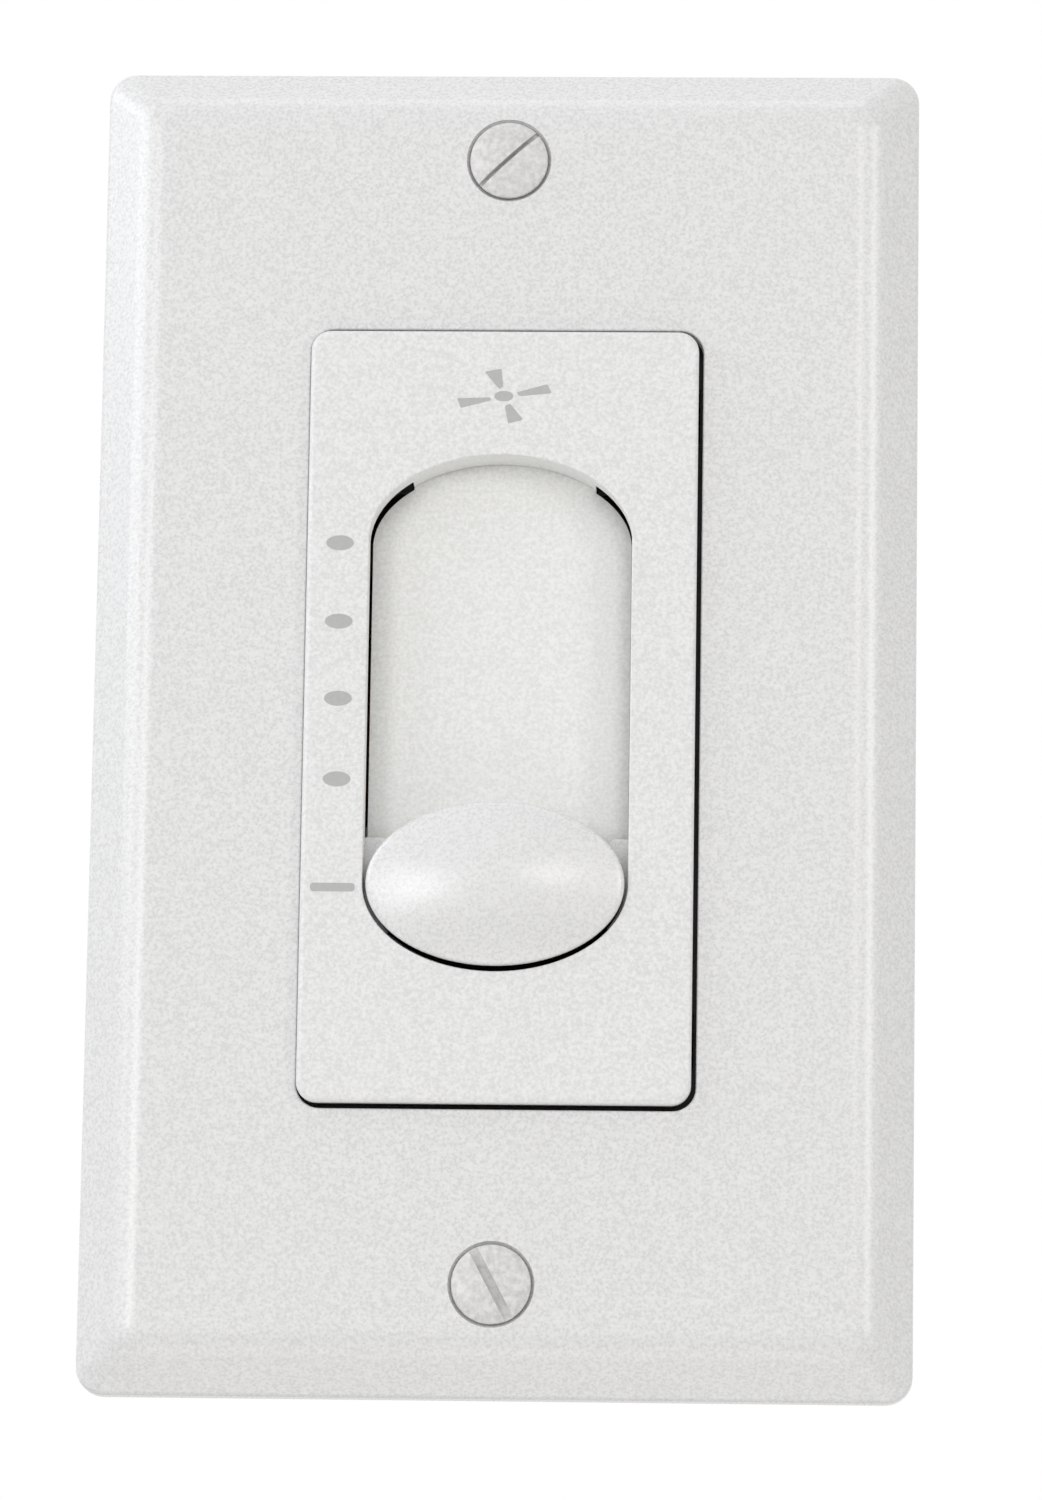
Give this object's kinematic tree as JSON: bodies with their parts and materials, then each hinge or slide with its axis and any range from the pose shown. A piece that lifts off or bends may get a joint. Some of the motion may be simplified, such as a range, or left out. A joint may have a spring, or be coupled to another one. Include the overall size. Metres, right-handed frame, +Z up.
{
  "type": "slide fan-speed control",
  "caption": "White single-gang wall control with a sliding oval knob in a recessed slot, a bevelled cover plate, a steel mounting strap and a rear case with screw terminals.",
  "frame": {"origin": "middle of the device on the wall surface, which is the plane of the cover plate's rear rim and of the strap ears' back faces", "axes": "+Z up along the knob's travel, -Y out of the wall towards the user, +X to the user's right"},
  "size_m": [0.0698, 0.0393, 0.1144],
  "materials": {
    "white_plastic": "satin moulded",
    "white_paint": "white painted screw",
    "zinc_steel": "zinc plated",
    "brass": "plain",
    "black_plastic": "moulded phenolic",
    "nylon": "natural",
    "green_screw": "green dyed",
    "board": "resin laminate",
    "capacitor": "epoxy dipped",
    "resistor": "lacquered",
    "fibre": "pressed fibre"
  },
  "bodies": {
    "root": {"wallplate": "white_plastic", "wallplate_screw_top": "white_paint", "wallplate_screw_bottom": "white_paint", "bezel": "white_plastic", "yoke": "zinc_steel", "box_screw_top": "zinc_steel", "box_screw_bottom": "zinc_steel", "screw_retainer_top": "fibre", "screw_retainer_bottom": "fibre", "ground_screw": "green_screw", "housing": "black_plastic", "housing_screw_1": "zinc_steel", "housing_screw_2": "zinc_steel", "housing_screw_3": "zinc_steel", "housing_screw_4": "zinc_steel", "detent_strip": "nylon", "circuit_board": "board", "common_rail": "brass", "speed_contact_1": "brass", "speed_contact_2": "brass", "speed_contact_3": "brass", "speed_contact_4": "brass", "capacitor_large": "capacitor", "capacitor_small": "capacitor", "bleed_resistor_1": "resistor", "bleed_resistor_2": "resistor", "board_screw_1": "zinc_steel", "board_screw_2": "zinc_steel", "terminal_plate_line": "brass", "terminal_plate_load": "brass", "terminal_screw_line": "brass", "terminal_screw_load": "brass"},
    "slider": {"knob": "white_plastic", "slider_carriage": "nylon", "contact_wiper": "brass", "detent_spring": "zinc_steel"}
  },
  "joints": [
    {"name": "slider_travel", "type": "slide", "parent": "root", "child": "slider", "axis": [0, 0, 1], "range_m": [0, 0.0295]}
  ]
}
